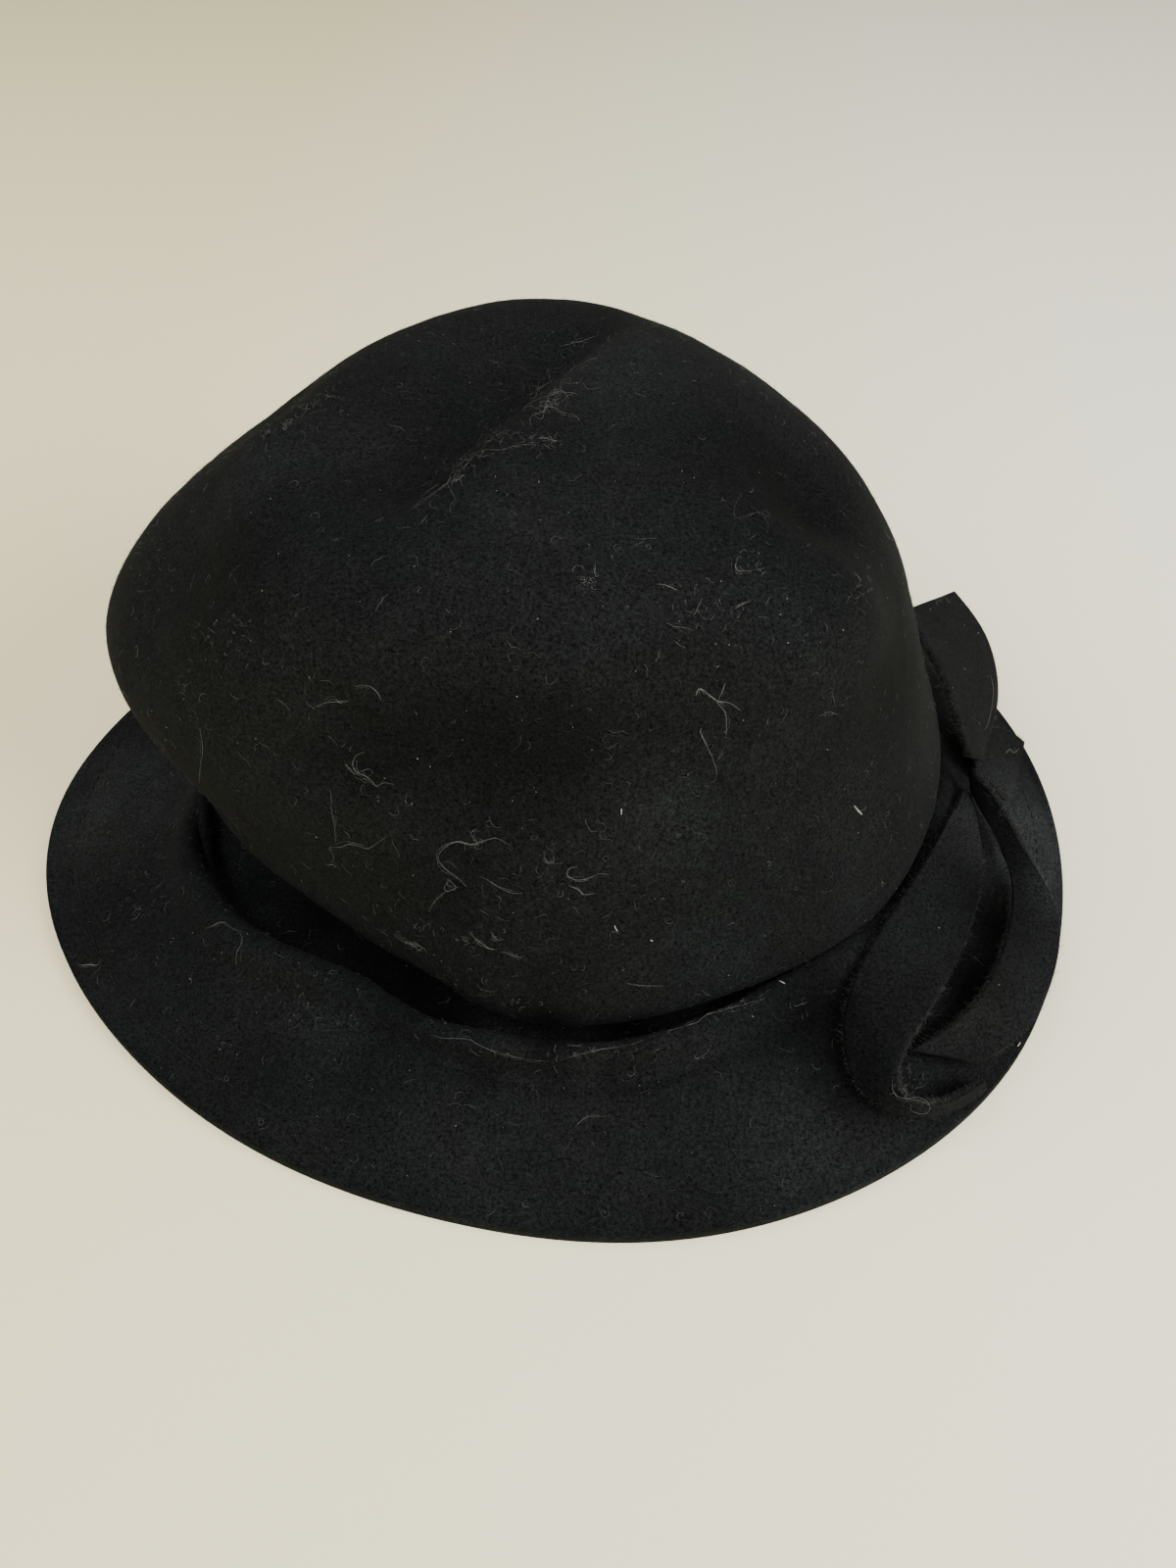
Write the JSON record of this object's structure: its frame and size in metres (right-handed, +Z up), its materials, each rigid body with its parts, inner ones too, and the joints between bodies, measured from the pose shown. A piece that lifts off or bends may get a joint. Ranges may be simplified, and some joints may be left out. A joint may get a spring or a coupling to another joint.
{
  "type": "cloche hat",
  "caption": "Soft black felt cloche hat with a creased bell crown, a tucked crown base, a turned-down brim and a felt strip bow at one side.",
  "frame": {"origin": "centre of the hat's plan on the plane its brim edge rests on", "axes": "+Z up through the crown, -Y to the front, +X to the side that carries the bow, along the brim's widest line"},
  "size_m": [0.292, 0.284, 0.1325],
  "materials": {
    "black_felt": "matte wool felt with a short nap"
  },
  "bodies": {
    "root": {"felt_body": "black_felt", "bow_left_arm": "black_felt", "bow_right_arm": "black_felt", "bow_upper_loop": "black_felt", "bow_tail": "black_felt"}
  },
  "joints": []
}
